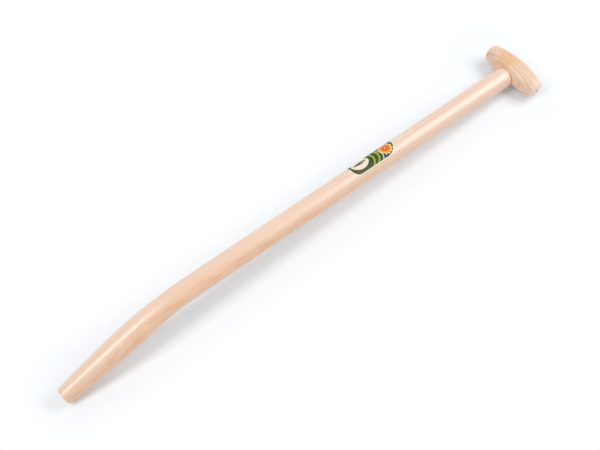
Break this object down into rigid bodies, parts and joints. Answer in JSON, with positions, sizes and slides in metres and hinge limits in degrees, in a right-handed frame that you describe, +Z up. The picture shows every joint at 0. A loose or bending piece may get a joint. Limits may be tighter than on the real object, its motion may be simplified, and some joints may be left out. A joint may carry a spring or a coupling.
{
  "type": "wooden t-handle",
  "caption": "Wooden T-handle for a digging tool: a round shaft bent and swollen near its tapered foot, with a turned cross grip on a wedged and pinned tenon.",
  "frame": {"origin": "on the floor under the middle of the lying handle", "axes": "+X along the handle from the tip of the foot to the grip, +Y along the cross grip, +Z up; the bend points down and the handle rests on the belly of the grip and the tip of the foot"},
  "size_m": [0.978, 0.115, 0.0873],
  "materials": {
    "shaft_wood": "satin",
    "grip_wood": "satin",
    "wedge_wood": "matte",
    "pin_steel": "satin",
    "label_paper": "gloss"
  },
  "bodies": {
    "root": {"shaft": "shaft_wood", "grip": "grip_wood", "tenon_wedge": "wedge_wood", "grip_pin": "pin_steel", "label": "label_paper"}
  },
  "joints": []
}
